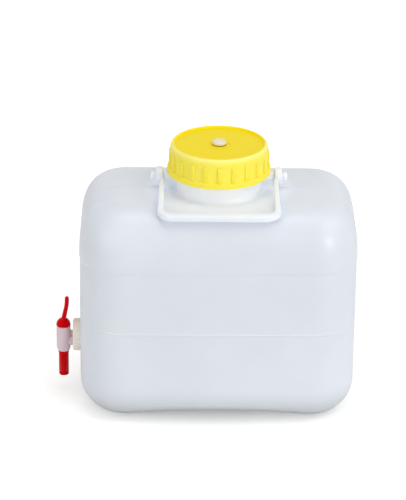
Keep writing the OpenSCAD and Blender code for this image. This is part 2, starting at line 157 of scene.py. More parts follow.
class Wire:
    """A shader socket that takes part in Python arithmetic."""

    def __init__(self, nodes, socket):
        self.nodes = nodes
        self.socket = socket

    def maths(self, operation, *others):
        inputs = dict(enumerate((self, *others)))
        return self.nodes.node("Math", {"operation": operation}, inputs)

    def __add__(self, other):
        return self.maths("ADD", other)

    def __mul__(self, other):
        return self.maths("MULTIPLY", other)

    def __sub__(self, other):
        return self.maths("SUBTRACT", other)

    def __rsub__(self, other):
        return self * -1 + other

    def __pow__(self, other):
        return self.maths("POWER", other)

    def __abs__(self):
        return self.maths("ABSOLUTE")

    __radd__ = __add__
    __rmul__ = __mul__

    def ramp(self, start, end):
        """0 before start, 1 after end, smooth between them."""
        inputs = {"Value": self, "From Min": start, "From Max": end}
        return self.nodes.node("MapRange", {"interpolation_type": "SMOOTHSTEP"}, inputs)

    def ridge(self, place, width):
        """1 at a place, fading to 0 a width away on both sides."""
        return 1 - abs(self - place).ramp(0, width)


class Nodes:
    """A tree of shader nodes and short ways to add to it."""

    def __init__(self, tree):
        self.tree = tree

    def set(self, node, inputs):
        for name, value in inputs.items():
            socket = node.inputs[name if isinstance(name, int) else name.replace("_", " ")]
            if isinstance(value, Wire):
                self.tree.links.new(value.socket, socket)
            else:
                socket.default_value = value

    def node(self, kind, settings={}, inputs={}, out=0):
        """Any node. out names the output that comes back, or None for the node itself."""
        node = self.tree.nodes.new("ShaderNode" + kind)
        for name, value in settings.items():
            setattr(node, name, value)
        self.set(node, inputs)
        return node if out is None else Wire(self, node.outputs[out])


class Finish(Nodes):
    """A material with its shader, the place on the object, and common nodes."""

    def __init__(self, name, **values):
        self.material = bpy.data.materials.new(name)
        self.material.use_nodes = True
        super().__init__(self.material.node_tree)
        self.shader = self.tree.nodes["Principled BSDF"]
        self.set(self.shader, values)
        self.place = self.node("TexCoord", out="Object")
        parts = self.node("SeparateXYZ", {}, {"Vector": self.place}, out=None)
        self.x, self.y, self.z = (Wire(self, parts.outputs[i]) for i in range(3))

    def away_from(self, x):
        """Distance in metres from an upright line in the middle plane, at x millimetres."""
        across = self.x - x * MM
        return (across * across + self.y * self.y) ** 0.5

    def noise(self, scale, detail=2, roughness=0.5):
        """Cloudy noise from 0 to 1; scale is in lumps a metre."""
        inputs = {"Vector": self.place, "Scale": scale, "Detail": detail, "Roughness": roughness}
        return self.node("TexNoise", {}, inputs)

    def blend(self, share, first, second):
        """A colour between two colours."""
        inputs = {0: share, 6: first, 7: second}
        return self.node("Mix", {"data_type": "RGBA"}, inputs, out=2)

    def raise_surface(self, height, depth):
        """Bumps the surface by height, a value of about 0 to 1, times depth in metres."""
        return self.node("Bump", {}, {"Height": height, "Distance": depth, "Strength": 1})


def colour(red, green, blue):
    """A colour written as on a screen, 0 to 255, turned into light values."""
    steps = [c / 255 for c in (red, green, blue)]
    return tuple(c / 12.92 if c <= 0.04045 else ((c + 0.055) / 1.055) ** 2.4 for c in steps) + (1,)


print("a mid grey of 128 is", round(colour(128, 128, 128)[0], 3), "in light")

# %% [markdown]
# ## The studio
#
# A white table and white surroundings, as in a catalogue. The table is a matt plane that
# adds a little glow of its own for the camera alone, which paints shade and light on it:
# least in the middle, where it leaves the tank's soft shadow dark as painted shade, more
# towards the tank's ends, where it paints that shadow away, and most far off, so that the
# rest reads as white.
# The surroundings are white to the camera and in reflections, while the light that they
# throw on the tank stays moderate.

# %% Table and surroundings
bpy.ops.object.select_all(action="DESELECT")
bpy.ops.mesh.primitive_plane_add(size=16)
table = bpy.context.object
table.name = "table"
table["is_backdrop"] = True

table_finish = Finish("white table", Base_Color=colour(250, 249, 246), Roughness=0.9)
table_finish.shader.inputs["Specular IOR Level"].default_value = 0
seen = table_finish.node("LightPath", out="Is Camera Ray")
away = table_finish.away_from(0)
# painted shade and light: the glow is lowest under the tank's middle, where its shadow falls, and higher
# towards its ends
glow = 0.21 + 0.1 * abs(table_finish.x).ramp(0.01, 0.14) + 0.35 * away.ramp(0.2, 0.8)
table_finish.set(table_finish.shader, {
    "Emission Color": table_finish.blend(seen * glow, (0, 0, 0, 1), (1, 1, 1, 1)),
    "Emission Strength": 1,
})
table.data.materials.append(table_finish.material)

world = bpy.data.worlds.new("studio")
bpy.context.scene.world = world
world.use_nodes = True
LIGHT_FROM_AROUND = 0.58
around = Nodes(world.node_tree)
path = around.node("LightPath", out=None)
kinds = ("Is Camera Ray", "Is Glossy Ray", "Is Transmission Ray")
by_camera, in_gloss, through = (Wire(around, path.outputs[kind]) for kind in kinds)
seen_white = by_camera.maths("MAXIMUM", in_gloss).maths("MAXIMUM", through)
strength = around.node("MapRange", {}, {"Value": seen_white, "To Min": LIGHT_FROM_AROUND})
around.set(world.node_tree.nodes["Background"], {"Color": (1, 1, 1, 1), "Strength": strength})
bpy.context.scene.view_settings.view_transform = "Standard"

# %% [markdown]
# ## The lamps
#
# Four soft boxes: the key lamp, low at the front right, which leaves one small highlight
# on the tank's right shoulder, a higher one on the same side, whose shadow of the cap
# falls on the left of the tank's top, a broad weaker one from the left, and one overhead.
# Each is placed by its direction round the tank and its height, both in degrees.

# %% Hang the lamps


def softbox(name, around, above, size, power):
    """A square area lamp aimed at the tank; 0 degrees around is the front, 90 the right."""
    around, above = math.radians(around), math.radians(above)
    aim = Vector((math.sin(around) * math.cos(above), -math.cos(around) * math.cos(above), math.sin(above)))
    lamp_data = bpy.data.lights.new(name, "AREA")
    lamp_data.size = size
    lamp_data.energy = power
    lamp = bpy.data.objects.new(name, lamp_data)
    bpy.context.scene.collection.objects.link(lamp)
    lamp.location = AIM + aim * 2.2
    lamp.rotation_euler = aim.to_track_quat("Z", "Y").to_euler()


softbox("key lamp", 43, 10, 0.38, 9.5)
softbox("high lamp", 62, 50, 0.9, 8)
softbox("fill lamp", -45, 20, 1, 6.9)
softbox("top lamp", 0, 88, 1, 8.2)

# %% [markdown]
# ## Drawing and turning outlines
#
# Most pieces here were turned or moulded round, so most start as an outline: one point is
# set down, extruded from place to place, and the chain is then spun about an axis. That
# is how it is done by hand in edit mode, and a few helpers repeat it. Finishing is the
# same for all: smooth shading, a body to ride on and the solid that the piece stands for.
# Some pieces get a small bevel on their sharp edges first.

# %% Helpers for outlines


def start(name, place):
    """Sets down one point at a place in millimetres and stays in edit mode."""
    bpy.ops.object.select_all(action="DESELECT")
    bpy.ops.mesh.primitive_plane_add(size=MM)
    piece = bpy.context.object
    piece.name = name
    bpy.ops.object.mode_set(mode="EDIT")
    bpy.ops.mesh.select_mode(type="VERT")
    bpy.ops.mesh.merge(type="CENTER")
    bpy.ops.transform.translate(value=Vector(place) * MM)
    return piece


def draw(name, points):
    """A chain of points in millimetres, each extruded from the one before."""
    points = [Vector(p) for p in points]
    piece = start(name, points[0])
    for here, there in zip(points, points[1:]):
        bpy.ops.mesh.extrude_vertices_move(TRANSFORM_OT_translate={"value": (there - here) * MM})
    bpy.ops.mesh.select_all(action="SELECT")
    return piece


def turn(name, outline, centre, axis="Z", steps=96, closed=False):
    """Spins an outline of (radius, height) about an upright line, or about a lying one."""
    centre = Vector(centre)
    if axis == "Z":
        points = [centre + Vector((r, 0, h)) for r, h in outline]
    else:
        points = [centre + Vector((h, 0, r)) for r, h in outline]
    if closed:
        points.append(points[0])
    piece = draw(name, points)
    way = (0, 0, 1) if axis == "Z" else (1, 0, 0)
    bpy.ops.mesh.spin(steps=steps, angle=math.tau, center=centre * MM, axis=way)
    tidy()
    bpy.ops.object.mode_set(mode="OBJECT")
    return piece


def tidy():
    """Merges doubled points and turns all faces outwards."""
    bpy.ops.mesh.select_all(action="SELECT")
    bpy.ops.mesh.remove_doubles(threshold=0.004 * MM)
    bpy.ops.mesh.normals_make_consistent(inside=False)


def use(piece):
    """Makes a piece the only selected and active one."""
    bpy.ops.object.select_all(action="DESELECT")
    piece.select_set(True)
    bpy.context.view_layer.objects.active = piece


def modify(piece, kind, **settings):
    """Adds a modifier with its settings and applies it."""
    use(piece)
    modifier = piece.modifiers.new(kind.lower(), kind)
    for setting, value in settings.items():
        setattr(modifier, setting, value)
    bpy.ops.object.modifier_apply(modifier=modifier.name)
    return piece


def soften(piece, width, segments=2, angle=35):
    """Rounds the edges that are sharper than an angle."""
    return modify(piece, "BEVEL", width=width * MM, segments=segments,
                  limit_method="ANGLE", angle_limit=math.radians(angle))


def join(first, *others):
    """Joins pieces into the first one."""
    use(first)
    for other in others:
        other.select_set(True)
    bpy.ops.object.join()
    return first


def copy(piece, turned, about):
    """A copy with its own mesh, turned by an angle about an upright line."""
    use(piece)
    bpy.ops.object.duplicate(linked=False)
    made = bpy.context.object
    bpy.ops.object.mode_set(mode="EDIT")
    bpy.ops.mesh.select_all(action="SELECT")
    bpy.ops.transform.rotate(value=turned, orient_axis="Z", center_override=Vector(about) * MM)
    bpy.ops.object.mode_set(mode="OBJECT")
    return made


def pick(piece, test):
    """In edit mode, selects the points that pass a test of their place in millimetres."""
    bpy.ops.mesh.select_all(action="DESELECT")
    bpy.ops.object.mode_set(mode="OBJECT")
    for point in piece.data.vertices:
        point.select = test(point.co / MM)
    bpy.ops.object.mode_set(mode="EDIT")


def finish(piece, body, look, slot, *stands_for, angle=38):
    """Shades a piece, gives it its finish, ties it to its body and hides the solids it stands for."""
    use(piece)
    bpy.ops.object.shade_smooth_by_angle(angle=math.radians(angle))
    piece.data.materials.clear()
    piece.data.materials.append(look.material)
    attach(piece, body)
    if stands_for:
        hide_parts(*stands_for)
    print(piece.name, len(piece.data.polygons), "faces")


# %% [markdown]
# ## Milky polyethylene
#
# Natural polyethylene is a cloudy, faintly blue white that lets a little light sink in,
# so its shadows stay light. A blown wall is never quite even: it is cloudy in large soft
# patches, its skin has a very fine orange peel, and the two halves of the mould leave a
# thin line round the middle. The top beside the neck is painted whiter and given a faint
# glow, as painted light for the light that comes through it from all sides, and the wall
# is painted greyer towards the foot, as painted shade. The mould line and the raised line
# on the front and back are painted whiter along their ridges, as a painted highlight.

# %% Make the milky finish
milky = Finish("milky polyethylene", Subsurface_Weight=0.25, Subsurface_Scale=0.02)
milky.shader.inputs["Subsurface Radius"].default_value = (0.9, 1.0, 1.1)
patches = milky.noise(9, 3).ramp(0.35, 0.68)
wall = milky.blend(patches, colour(227, 234, 245), colour(232, 239, 250))
# painted shade: the wall is painted greyer towards the foot
wall = milky.blend(milky.z.ramp(2 * MM, 44 * MM), colour(198, 204, 211), wall)
from_neck = milky.away_from(neck_x)
# painted light: the top beside the neck is painted whiter and given a faint glow
painted_light_top = milky.z.ramp(226 * MM, 236 * MM) * (1 - from_neck.ramp(58 * MM, 84 * MM))
wall = milky.blend(painted_light_top, wall, colour(247, 250, 255))
# painted highlight: the mould line and the raised line are painted whiter along their ridges; the same
# masks also raise the surface
mould_line = milky.y.ridge(0, 1.2 * MM) * (0.6 + 0.4 * milky.noise(70, 2).ramp(0.2, 0.45))
line_fades = abs(milky.x - neck_x * MM).ramp((LINE_END - 10) * MM, (LINE_END + 10) * MM)
raised_line = milky.z.ridge(LINE_Z * MM, 1.5 * MM) * (1 - line_fades)
ridges_and_painted_highlight = mould_line + raised_line
milky.set(milky.shader, {
    "Base Color": milky.blend(0.9 * ridges_and_painted_highlight, wall, colour(242, 250, 255)),
    "Emission Color": milky.blend(painted_light_top, (0, 0, 0, 1), (0.035, 0.045, 0.07, 1)),
    "Emission Strength": 1,
})
grain = milky.noise(900, 3)
waves = milky.noise(26, 1)
scuffs = milky.noise(160, 6, 0.75).ramp(0.62, 0.75)
milky.set(milky.shader, {
    "Roughness": 0.33 + 0.06 * patches + 0.12 * scuffs,
    "Normal": milky.raise_surface(grain * 0.06 + waves * 0.7 + ridges_and_painted_highlight, 0.5 * MM),
})
print("nodes in the milky finish:", len(milky.tree.nodes))

# %% [markdown]
# ## The tank's shell
#
# The tank is a rounded box whose shoulder curves over in one long sweep. Its wall line is
# the same all round, so one outline is drawn at a corner and spun a quarter turn. The two
# open ends are then pulled to the middle planes, and mirroring makes the other three
# quarters. This keeps the faces in even rows, which take light better than a box with
# bevelled edges.

# %% Draw the tank's wall line
CORNER_R = 47
BASE_R = 38
SHOULDER_IN = 43
SHOULDER_DROP = 56
SHOULDER_FULL = 2.6
PANEL_IN = 0.5
CREASE_DEPTH = 0.5
CREASE_HALF = 2.2
run_x = half_w - CORNER_R
run_y = half_d - CORNER_R
shoulder_z = body_h - SHOULDER_DROP
crease_z = shoulder_z - 7


def shoulder_point(angle):
    """A point of the shoulder's curve as (distance in, height), 0 at its foot."""
    across, up = math.cos(angle) ** (2 / SHOULDER_FULL), math.sin(angle) ** (2 / SHOULDER_FULL)
    return SHOULDER_IN * (1 - across), shoulder_z + SHOULDER_DROP * up


def wall_in(height):
    """How far the plain part of the wall stands in from the widest plane at a height."""
    rise = min(1, max(0, (height - crease_z + 1) / 5))
    groove = math.exp(-((height - crease_z) / CREASE_HALF) ** 2)
    return PANEL_IN * (1 - rise * rise * (3 - 2 * rise)) + CREASE_DEPTH * groove


base_curve = [math.radians(90 - 6 * i) for i in range(16)]
wall_line = [(PANEL_IN + BASE_R * (1 - math.cos(a)), BASE_R * (1 - math.sin(a))) for a in base_curve]
wall_line += [(wall_in(h), h) for h in range(46, int(LINE_Z) - 4, 8)]
wall_line += [(wall_in(LINE_Z + d), LINE_Z + d) for d in (-4, -3, -2, -1, 0, 1, 2, 3, 4)]
wall_line += [(wall_in(h), h) for h in range(118, 166, 8)]
wall_line += [(wall_in(crease_z + d * 0.8), crease_z + d * 0.8) for d in range(-8, 9)]
wall_line += [shoulder_point(math.radians(a)) for a in range(4, 91, 4)]
wall_line.append(shoulder_point(math.radians(90)))
print(len(wall_line), "points from", wall_line[0], "to", wall_line[-1])

# %% Spin one corner and pull out its sides
RUN_STEPS = 28
shell = draw("tank", [(run_x + CORNER_R - inset, run_y, h) for inset, h in wall_line])
bpy.ops.mesh.spin(steps=14, angle=-math.pi / 2, center=Vector((run_x, run_y, 0)) * MM, axis=(0, 0, 1))
pick(shell, lambda p: abs(p.y - run_y) < 0.01)
for step in range(10):
    bpy.ops.mesh.extrude_region_move(TRANSFORM_OT_translate={"value": (0, -run_y * MM / 10, 0)})
pick(shell, lambda p: abs(p.x - run_x) < 0.01)
for step in range(RUN_STEPS):
    bpy.ops.mesh.extrude_region_move(TRANSFORM_OT_translate={"value": (-run_x * MM / RUN_STEPS, 0, 0)})
for level in (0, body_h):
    pick(shell, lambda p: abs(p.z - level) < 0.01)
    bpy.ops.mesh.extrude_region_move(TRANSFORM_OT_translate={"value": (0, 0, 0)})
    bpy.ops.transform.resize(value=(1, 0, 1), center_override=(0, 0, 0))
tidy()
bpy.ops.object.mode_set(mode="OBJECT")
print("one quarter has", len(shell.data.polygons), "faces")

# %% [markdown]
# ## The raised line and the arched foot
#
# A thin raised line stiffens the front and the back and dies away in the corners, and the
# floor of the tank is arched so that it stands on its two ends. Both are small pushes of
# rows that the outline already has, so the points are moved by a formula: outwards near
# the line, and upwards under the arch.

# %% Push the points
LINE_OUT = 0.5
LINE_HALF = 3
LINE_FADE = 14
ARCH_RISE = 5
ARCH_HALF = 92


def smooth(value, start_at, end_at):
    """0 before the start, 1 after the end, smooth between them."""
    share = min(1, max(0, (value - start_at) / (end_at - start_at)))
    return share * share * (3 - 2 * share)


for point in shell.data.vertices:
    x, y, z = point.co / MM
    outwards = Vector((max(0, x - run_x), max(0, y - run_y), 0))
    if outwards.length > 1:
        bulge = max(0, 1 - ((z - LINE_Z) / LINE_HALF) ** 2)
        push = LINE_OUT * bulge * (1 - smooth(x, LINE_END - LINE_FADE, LINE_END))
        point.co += outwards.normalized() * push * MM
    arch = ARCH_RISE * max(0, 1 - (x / ARCH_HALF) ** 2)
    point.co.z += arch * (1 - smooth(z, 0, 24)) * MM

modify(shell, "MIRROR", use_axis=(True, True, False), merge_threshold=0.01 * MM)
use(shell)
bpy.ops.object.mode_set(mode="EDIT")
tidy()
bpy.ops.transform.translate(value=(neck_x * MM, 0, 0))
bpy.ops.object.mode_set(mode="OBJECT")
print("the shell has", len(shell.data.polygons), "faces")

# %% [markdown]
# ## The neck and the outlet
#
# The neck stands on the tank with a soft fillet at its foot, and the outlet is a short
# tube low on the left end. Each is turned as a plug, and a boolean union melts it into
# the shell. A copy of the plain shell, shrunk along its normals by the wall's thickness,
# is then cut out of it, and so are the bores of the neck and of the outlet. Solidify
# would be quicker, but it tears where the fillet's thin faces meet the shoulder.

# %% Turn the neck and let its foot follow the shoulder
NECK_FILLET = 5


def top_at(y):
    """Height of the tank's top at a distance from its middle plane."""
    share = max(0, abs(y) - half_d + SHOULDER_IN) / SHOULDER_IN
    return shoulder_z + SHOULDER_DROP * max(0, 1 - share ** SHOULDER_FULL) ** (1 / SHOULDER_FULL)


fillet = [(neck_r + NECK_FILLET * (1 - math.sin(a)), body_h + NECK_FILLET * (1 - math.cos(a)))
          for a in [math.radians(9 * i) for i in range(11)]]
neck = turn("neck", [(0, 226), (neck_r + NECK_FILLET, 226), *fillet,
                     (neck_r, lip_z - 0.9), (neck_r - 0.3, lip_z - 0.3), (neck_r - 0.9, lip_z), (0, lip_z)],
            (neck_x, 0, 0), steps=120)
for point in neck.data.vertices:
    x, y, z = point.co / MM
    out = math.hypot(x - neck_x, y) - neck_r
    if out > 0 and z > body_h - 1:
        point.co.z -= (body_h - top_at(y) + 0.06) * smooth(out, 0, NECK_FILLET) * MM

outlet_end = high("outlet_seal").x + 0.02
outlet_r = high("outlet_seal").y + 0.1
outlet = turn("outlet", [(0, neck_x - half_w + 6), (outlet_r, neck_x - half_w + 6),
                         (outlet_r, outlet_end + 0.4), (outlet_r - 0.4, outlet_end),
                         (0, outlet_end)], (0, 0, outlet_z), axis="X", steps=64)

# %% Melt them into the shell, then hollow it
WALL = 2
NECK_BORE_R = 42.4
OUTLET_BORE_R = 11


def carve(piece, tool, operation="DIFFERENCE"):
    """Cuts a tool out of a piece, or melts it in, and removes the tool."""
    modify(piece, "BOOLEAN", object=tool, operation=operation, solver="MANIFOLD")
    bpy.data.objects.remove(tool)


use(shell)
bpy.ops.object.duplicate(linked=False)
hollow = bpy.context.object
bpy.ops.object.mode_set(mode="EDIT")
bpy.ops.mesh.select_all(action="SELECT")
bpy.ops.transform.shrink_fatten(value=-WALL * MM)
bpy.ops.object.mode_set(mode="OBJECT")
neck_bore = turn("neck bore", [
    (0, body_h - 12), (NECK_BORE_R, body_h - 12), (NECK_BORE_R, lip_z - 0.7),
    (NECK_BORE_R + 0.8, lip_z + 1), (0, lip_z + 1)], (neck_x, 0, 0), steps=120)
outlet_bore = turn("outlet bore", [
    (0, outlet_end - 2), (OUTLET_BORE_R + 0.5, outlet_end - 2), (OUTLET_BORE_R, outlet_end + 0.6),
    (OUTLET_BORE_R, outlet_end + 16), (0, outlet_end + 16)], (0, 0, outlet_z), axis="X", steps=64)
carve(shell, neck, "UNION")
carve(shell, outlet, "UNION")
for tool in (hollow, neck_bore, outlet_bore):
    carve(shell, tool)
print("the hollow shell has", len(shell.data.polygons), "faces")

# %% [markdown]
# ## Lugs, pins and the neck's thread
#
# Two lugs beside the neck carry the pins that the handle turns on. A lug is a flat
# outline with a round top, filled, pulled out sideways and bevelled, and its pin is
# turned about a lying axis. The neck's thread is one small section wound up by the Screw
# modifier, with the same pitch as the motion of the cap.

# %% Lugs and pins
EAR_R = 6.3
EAR_HALF = 5.5
PIN_R = 3.5
HEAD_R = 4.6
pivot_z = rim_z - 0.3 - EAR_R
eye_out = high("carry_handle").x - neck_x
eye_in = eye_out - 7.2
pin_end = eye_out + 5.6
ear_end = eye_in - 0.3
inner = neck_r - 1.4

ear_arc = [(EAR_R * math.cos(math.radians(a)), pivot_z + EAR_R * math.sin(math.radians(a)))
           for a in range(-20, 201, 10)]
ear_line = [(EAR_HALF, body_h - 1), *ear_arc, (-EAR_HALF, body_h - 1)]
lug = draw("lug", [(neck_x + inner, y, z) for y, z in ear_line])
bpy.ops.mesh.edge_face_add()
bpy.ops.mesh.extrude_region_move(TRANSFORM_OT_translate={"value": ((ear_end - inner) * MM, 0, 0)})
tidy()
bpy.ops.object.mode_set(mode="OBJECT")
soften(lug, 0.7, 3)
pin = turn("pin", [(0, inner), (PIN_R, inner), (PIN_R, pin_end - 3.6), (HEAD_R - 0.3, pin_end - 3.6),
                   (HEAD_R, pin_end - 3), (HEAD_R, pin_end - 1), (HEAD_R - 0.4, pin_end - 0.3),
                   (HEAD_R - 1.2, pin_end), (0, pin_end)], (neck_x, 0, pivot_z), axis="X", steps=48)
join(lug, pin)
other_lug = copy(lug, math.pi, (neck_x, 0, 0))

# %% The thread on the neck
PITCH = 6


def thread(name, root, crest, bottom, turns):
    """A thread section wound about the neck's middle; the root is where it meets the wall."""
    section = [(root, 0, bottom), (root, 0, bottom + 3), (crest, 0, bottom + 2), (crest, 0, bottom + 1)]
    wound = draw(name, section)
    bpy.ops.mesh.edge_face_add()
    bpy.ops.mesh.delete(type="ONLY_FACE")
    bpy.ops.object.mode_set(mode="OBJECT")
    modify(wound, "SCREW", angle=math.tau * turns, screw_offset=PITCH * turns * MM,
           steps=int(72 * turns), render_steps=int(72 * turns), use_smooth_shade=False)
    bpy.ops.object.mode_set(mode="EDIT")
    bpy.ops.mesh.select_all(action="SELECT")
    bpy.ops.mesh.fill_holes(sides=0)
    tidy()
    bpy.ops.transform.translate(value=(neck_x * MM, 0, 0))
    bpy.ops.object.mode_set(mode="OBJECT")
    return wound


neck_thread = thread("neck thread", neck_r - 0.3, neck_r + 2.2, rim_z + 6.5, 2.5)
tank = join(shell, lug, other_lug, neck_thread)
tank.name = "tank"
finish(tank, "tank", milky, "natural_polyethylene", "canister_body", angle=30)

# %% [markdown]
# ## Moulded plastics
#
# The cap, the handle, the nut and the tap are injection moulded, so their skins are
# smoother and glossier than the blown tank's. One function makes them all: a base colour
# that drifts a little, a very fine bump, and a roughness that varies where hands rub. The
# colours and the amounts differ from piece to piece. The cap's colour is set by distance
# from its middle, as painted light and shade: the disc is painted a deep yellow as painted
# shade, the skirt paler as painted light, and the crest palest, as a painted highlight.

# %% Make the moulded finishes


def moulded(name, gloss, colours=None, glow=0.0, bump=0.05):
    """A moulded plastic whose colour drifts between two colours, if they are given."""
    made = Finish(name, Subsurface_Weight=glow, Subsurface_Scale=0.004)
    made.shader.inputs["Subsurface Radius"].default_value = (1, 0.8, 0.6)
    cloud = made.noise(22, 3).ramp(0.3, 0.7)
    rubbed = made.noise(240, 5, 0.7).ramp(0.6, 0.8)
    pores = made.noise(1500, 2)
    ripple = made.noise(120, 1)
    made.set(made.shader, {
        "Roughness": gloss + 0.05 * cloud + 0.14 * rubbed,
        "Normal": made.raise_surface(pores * 0.3 + ripple, bump * MM),
    })
    if colours:
        made.set(made.shader, {"Base Color": made.blend(cloud, *[colour(*c) for c in colours])})
    return made


yellow = moulded("yellow cap plastic", 0.3, glow=0.2, bump=0.08)
white = moulded("white handle plastic", 0.34, [(234, 238, 246), (239, 242, 249)], glow=0.15)
vent_white = moulded("white vent plastic", 0.36, [(232, 221, 198), (238, 228, 208)], glow=0.1)
ivory = moulded("ivory nut plastic", 0.42, [(238, 228, 214), (245, 237, 226)], glow=0.1)
rose = moulded("milky tap plastic", 0.36, [(222, 200, 207), (231, 214, 220)], glow=0.35)
red = moulded("red tap plastic", 0.2, [(202, 0, 10), (214, 2, 14)], bump=0.06)
for made, shine, tint in ((yellow, 0.08, (1, 0.85, 0.15, 1)), (red, 0.2, (1, 0.1, 0.1, 1))):
    made.set(made.shader, {"Specular IOR Level": shine, "Specular Tint": tint})
from_neck = yellow.away_from(neck_x)
# painted light and shade: a deeper yellow disc, a paler skirt and a painted highlight on the crest
past_disc = from_neck.ramp(46.5 * MM, 47.5 * MM)
painted_crest_highlight = 0.7 * from_neck.ridge(49.6 * MM, 2 * MM)
painted_disc_shade_and_skirt_light = yellow.blend(past_disc, colour(250, 222, 10), colour(253, 235, 84))
yellow.set(yellow.shader, {"Base Color": yellow.blend(painted_crest_highlight, painted_disc_shade_and_skirt_light, colour(255, 247, 160))})
print("finishes:", [m.name for m in bpy.data.materials])

# %% [markdown]
# ## The screw cap
#
# The cap has a plain rim at the bottom, grip ribs above it, a soft crest and a flat disc
# that is sunk a little inside the crest. The whole section, outside and inside, is one
# closed outline that is spun once. One rib is pulled out of a flat outline, bevelled, and
# copied round.

# %% Turn the cap
CAP_WALL = 2.3
RIM_OUT = 2.8
RIM_H = 6
RIB_COUNT = 22
RIB_OUT = 1.5
RIB_HALF = 2.1
skirt_r = rim_r - RIM_OUT
cap_bore_r = skirt_r - CAP_WALL
crest_r = skirt_r - 3.2
disc_r = crest_r - 1.6
disc_top = crest_z - 2.2
disc_under = disc_top - 2.2
rib_foot = rim_z + RIM_H
rib_top = crest_z - 9
vent_hole_r = 3.97

crest_line = [(crest_r + 3.2 * math.cos(a), rib_top + 1.5 + (crest_z - rib_top - 1.5) * math.sin(a))
              for a in [math.radians(7.5 * i) for i in range(13)]]
cap_line = [
    (cap_bore_r, rim_z + 0.4), (cap_bore_r + 0.4, rim_z), (rim_r - 0.7, rim_z), (rim_r - 0.2, rim_z + 0.2),
    (rim_r, rim_z + 0.8), (rim_r, rib_foot - 1), (rim_r - 0.3, rib_foot - 0.3), (rim_r - 0.9, rib_foot),
    (skirt_r + 0.3, rib_foot + 0.1), (skirt_r, rib_foot + 0.5), *crest_line,
    (disc_r + 0.9, crest_z - 0.2), (disc_r + 0.3, crest_z - 0.8), (disc_r, disc_top + 0.4),
    (disc_r - 0.4, disc_top), (11, disc_top), (10.6, disc_top - 0.5), (9.4, disc_top - 0.5), (9, disc_top),
    (vent_hole_r, disc_top), (vent_hole_r, disc_under), (cap_bore_r - 0.6, disc_under),
    (cap_bore_r, disc_under - 0.6),
]
cap = turn("cap", cap_line, (neck_x, 0, 0), steps=176, closed=True)

# %% One rib, copied round
root = skirt_r - 1
rib_line = [(root, rib_foot - 0.5), (skirt_r + RIB_OUT, rib_foot - 0.5), (skirt_r + RIB_OUT, rib_top - 1.5),
            (skirt_r, rib_top + 0.6), (root, rib_top + 0.6)]
rib = draw("rib", [(neck_x + r, -RIB_HALF, h) for r, h in rib_line])
bpy.ops.mesh.edge_face_add()
bpy.ops.mesh.extrude_region_move(TRANSFORM_OT_translate={"value": (0, 2 * RIB_HALF * MM, 0)})
tidy()
bpy.ops.object.mode_set(mode="OBJECT")
soften(rib, 0.6, 3)
ribs = [copy(rib, math.tau * (i + 0.5) / RIB_COUNT, (neck_x, 0, 0)) for i in range(RIB_COUNT)]
bpy.data.objects.remove(rib)
cap_thread = thread("cap thread", cap_bore_r + 0.3, cap_bore_r - 2.2, rim_z + 6.5 + PITCH / 2, 2)
join(cap, *ribs, cap_thread)
finish(cap, "cap", yellow, "yellow_plastic", "screw_cap", angle=40)

# %% [markdown]
# ## The vent plug
#
# A small white plug closes the air hole in the middle of the cap. It is turned with a
# soft domed head, and the slot across its stem is cut with a thin block, so that air gets
# in when the plug is lifted.

# %% Turn the plug and cut its slot
vent_top = high("vent_plug").z
vent_under = high("vent_washer").z + 0.02
vent_foot = low("vent_plug").z
vent_r = high("vent_plug").y
vent = turn("vent", [
    (0, vent_foot), (3, vent_foot), (3.6, vent_foot + 0.4), (3.9, vent_foot + 1.2), (3.9, vent_under),
    (vent_r - 0.2, vent_under), (vent_r, vent_under + 0.3), (vent_r, vent_top - 1.3),
    (vent_r - 0.3, vent_top - 0.6), (vent_r - 1.1, vent_top - 0.15), (vent_r - 2.4, vent_top),
    (0, vent_top),
], (neck_x, 0, 0), steps=48)
bpy.ops.object.select_all(action="DESELECT")
bpy.ops.mesh.primitive_cube_add(size=MM, scale=(10, 1.8, 12),
                                location=Vector((neck_x, 0, vent_foot)) * MM)
slot_block = bpy.context.object
carve(vent, slot_block)
soften(vent, 0.15, 2)
finish(vent, "vent", vent_white, "white_plastic", "vent_plug")

# %% [markdown]
# ## The carrying handle
#
# The handle is one bent bar with an eye at each end. Its bar is flat and wide at the grip
# and slimmer at the arms. A rounded end face is extruded down the arm, turned step by
# step about the middle of the bend and widened on the way, as by hand, and the other
# half is its mirror image. The eyes are turned rings that are melted into the arms.

# %% Extrude half of the bar
HANDLE_L = 78
ARM_W, ARM_T = 5, 5
BEND_W, GRIP_W, GRIP_T = 7, 9.4, 6.6
BEND_R = 8.5
EYE_R = 10.2
arm_in = eye_in - 1.4
grip_in = HANDLE_L - GRIP_W / 2
drop = grip_in - BEND_R
ARM_TOP = EAR_R + 0.3


def section(width, thick):
    """A rounded bar's outline as points (across, up) with its inner edge at 0."""
    return [(width / 2 + width / 2 * math.copysign(abs(math.cos(a)) ** 0.55, math.cos(a)),
             thick / 2 * math.copysign(abs(math.sin(a)) ** 0.55, math.sin(a)))
            for a in [math.tau * (i + 0.5) / 20 for i in range(20)]]


def station(along):
    """Inner edge, direction and size of the bar: 0 to 1 down the arm, 1 to 2 round the bend."""
    if along <= 1:
        share = along
        size = (ARM_W + (BEND_W - ARM_W) * share, ARM_T + (GRIP_T - ARM_T) * share)
        return (arm_in, -ARM_TOP - (drop - ARM_TOP) * share), 0, size
    turned = min(along - 1, 1) * math.pi / 2
    size = (BEND_W + (GRIP_W - BEND_W) * min(along - 1, 1), GRIP_T)
    return (arm_in - BEND_R * (1 - math.cos(turned)), -drop - BEND_R * math.sin(turned)), turned, size


def ring(along):
    """The bar's outline at a station, in the handle's own plane."""
    (x, y), turned, size = station(along)
    return [Vector((x + out * math.cos(turned), y - out * math.sin(turned), up))
            for out, up in section(*size)]


